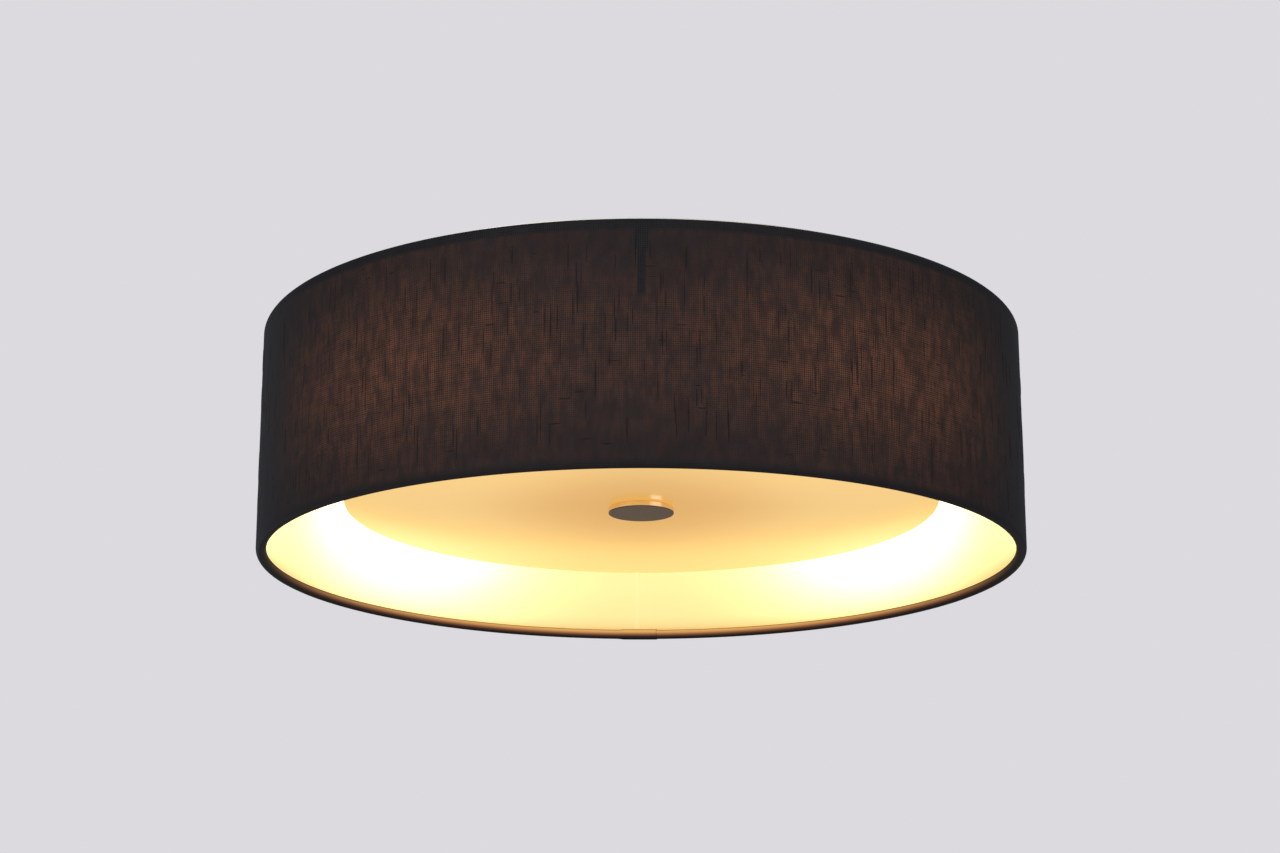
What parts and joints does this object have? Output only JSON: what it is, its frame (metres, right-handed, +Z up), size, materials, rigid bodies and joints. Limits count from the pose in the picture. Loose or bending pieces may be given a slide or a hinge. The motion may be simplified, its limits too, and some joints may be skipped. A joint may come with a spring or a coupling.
{
  "type": "flush mount ceiling light",
  "caption": "Round drum ceiling light: dark cloth shade with a white liner, opal disc held by a satin cap nut, radial screw-in bulbs under a white steel pan.",
  "frame": {"origin": "middle of the mounting bar's ceiling side, midway between its two ceiling screws, in the plane of the ceiling", "axes": "+Z up, into the ceiling, along the threaded rod; +X along the mounting bar; -Y the front, with the shade's laps at the back on +Y"},
  "size_m": [0.5, 0.5004, 0.154],
  "materials": {
    "galvanised_steel": "galvanised",
    "zinc_plated": "bright zinc plated",
    "white_steel": "white powder coat",
    "black_charcoal_cloth": "slubby plain weave",
    "white_liner": "satin white sheet",
    "opal_acrylic": "satin opal",
    "satin_nickel": "satin nickel plated",
    "silicone": "translucent silicone",
    "black_rubber": "moulded",
    "white_plastic": "moulded thermoplastic",
    "natural_plastic": "moulded polyamide",
    "brass": "machined",
    "plated_shell": "nickel plated",
    "opal_glass": "opal, lit",
    "solder": "soldered",
    "brown_lead": "PVC insulation",
    "blue_lead": "PVC insulation",
    "green_yellow_lead": "PVC insulation"
  },
  "bodies": {
    "fixture": {"arm_nuts": "zinc_plated", "arm_studs": "zinc_plated", "bar_studs": "zinc_plated", "base_pan": "white_steel", "block_screws": "zinc_plated", "bracket_nuts": "zinc_plated", "bracket_screws": "zinc_plated", "centre_rod": "zinc_plated", "earth_lead": "green_yellow_lead", "earth_screw": "zinc_plated", "earth_tag": "zinc_plated", "holder_screws": "zinc_plated", "lampholder_1": "white_plastic", "lampholder_2": "white_plastic", "lampholder_3": "white_plastic", "lampholder_4": "white_plastic", "lampholder_bracket_1": "galvanised_steel", "lampholder_bracket_2": "galvanised_steel", "lampholder_bracket_3": "galvanised_steel", "lampholder_bracket_4": "galvanised_steel", "lampholder_contacts": "brass", "lampholder_shell_1": "plated_shell", "lampholder_shell_2": "plated_shell", "lampholder_shell_3": "plated_shell", "lampholder_shell_4": "plated_shell", "lead_grommets": "black_rubber", "live_leads": "brown_lead", "mounting_bar": "galvanised_steel", "neutral_leads": "blue_lead", "pan_nuts": "zinc_plated", "rod_nuts": "zinc_plated", "rod_washer": "zinc_plated", "shade_arm_back": "galvanised_steel", "shade_arm_front": "galvanised_steel", "shade_arm_left": "galvanised_steel", "shade_arm_right": "galvanised_steel", "shade_fabric": "black_charcoal_cloth", "shade_liner": "white_liner", "shade_ring_bottom": "galvanised_steel", "shade_ring_top": "galvanised_steel", "spacer_tube": "white_steel", "terminal_block": "natural_plastic", "terminal_inserts": "brass", "terminal_screws": "zinc_plated"},
    "diffuser": {"stop_washer": "zinc_plated", "soft_washers": "silicone", "diffuser_disc": "opal_acrylic"},
    "finial": {"finial": "satin_nickel"},
    "bulb_1_tip": {"bulb_contact_1": "solder"},
    "bulb_1": {"bulb_glass_1": "opal_glass", "bulb_cap_1": "plated_shell"},
    "bulb_2_tip": {"bulb_contact_2": "solder"},
    "bulb_2": {"bulb_glass_2": "opal_glass", "bulb_cap_2": "plated_shell"},
    "bulb_3_tip": {"bulb_contact_3": "solder"},
    "bulb_3": {"bulb_glass_3": "opal_glass", "bulb_cap_3": "plated_shell"},
    "bulb_4_tip": {"bulb_contact_4": "solder"},
    "bulb_4": {"bulb_glass_4": "opal_glass", "bulb_cap_4": "plated_shell"}
  },
  "joints": [
    {"name": "diffuser_travel", "type": "slide", "parent": "fixture", "child": "diffuser", "axis": [0, 0, -1], "range_m": [0, 0.0075]},
    {"name": "finial_spin", "type": "hinge", "parent": "diffuser", "child": "finial", "pos_m": [0, 0, -0.1195], "axis": [0, 0, -1], "range_deg": [0, 2700]},
    {"name": "bulb_1_travel", "type": "slide", "parent": "fixture", "child": "bulb_1_tip", "axis": [0.7071, 0.7071, 0], "range_m": [0, 0.01815]},
    {"name": "bulb_1_spin", "type": "hinge", "parent": "bulb_1_tip", "child": "bulb_1", "pos_m": [0.0408, 0.0408, -0.07], "axis": [0.7071, 0.7071, 0], "range_deg": [0, 1800]},
    {"name": "bulb_2_travel", "type": "slide", "parent": "fixture", "child": "bulb_2_tip", "axis": [-0.7071, 0.7071, 0], "range_m": [0, 0.01815]},
    {"name": "bulb_2_spin", "type": "hinge", "parent": "bulb_2_tip", "child": "bulb_2", "pos_m": [-0.0408, 0.0408, -0.07], "axis": [-0.7071, 0.7071, 0], "range_deg": [0, 1800]},
    {"name": "bulb_3_travel", "type": "slide", "parent": "fixture", "child": "bulb_3_tip", "axis": [-0.7071, -0.7071, 0], "range_m": [0, 0.01815]},
    {"name": "bulb_3_spin", "type": "hinge", "parent": "bulb_3_tip", "child": "bulb_3", "pos_m": [-0.0408, -0.0408, -0.07], "axis": [-0.7071, -0.7071, 0], "range_deg": [0, 1800]},
    {"name": "bulb_4_travel", "type": "slide", "parent": "fixture", "child": "bulb_4_tip", "axis": [0.7071, -0.7071, 0], "range_m": [0, 0.01815]},
    {"name": "bulb_4_spin", "type": "hinge", "parent": "bulb_4_tip", "child": "bulb_4", "pos_m": [0.0408, -0.0408, -0.07], "axis": [0.7071, -0.7071, 0], "range_deg": [0, 1800]}
  ],
  "couplings": [
    {"joint": "finial_spin", "follows": "diffuser_travel", "rad_per_m": 6283.2},
    {"joint": "bulb_1_travel", "follows": "bulb_1_spin", "m_per_rad": 0.00057757},
    {"joint": "bulb_2_travel", "follows": "bulb_2_spin", "m_per_rad": 0.00057757},
    {"joint": "bulb_3_travel", "follows": "bulb_3_spin", "m_per_rad": 0.00057757},
    {"joint": "bulb_4_travel", "follows": "bulb_4_spin", "m_per_rad": 0.00057757}
  ]
}
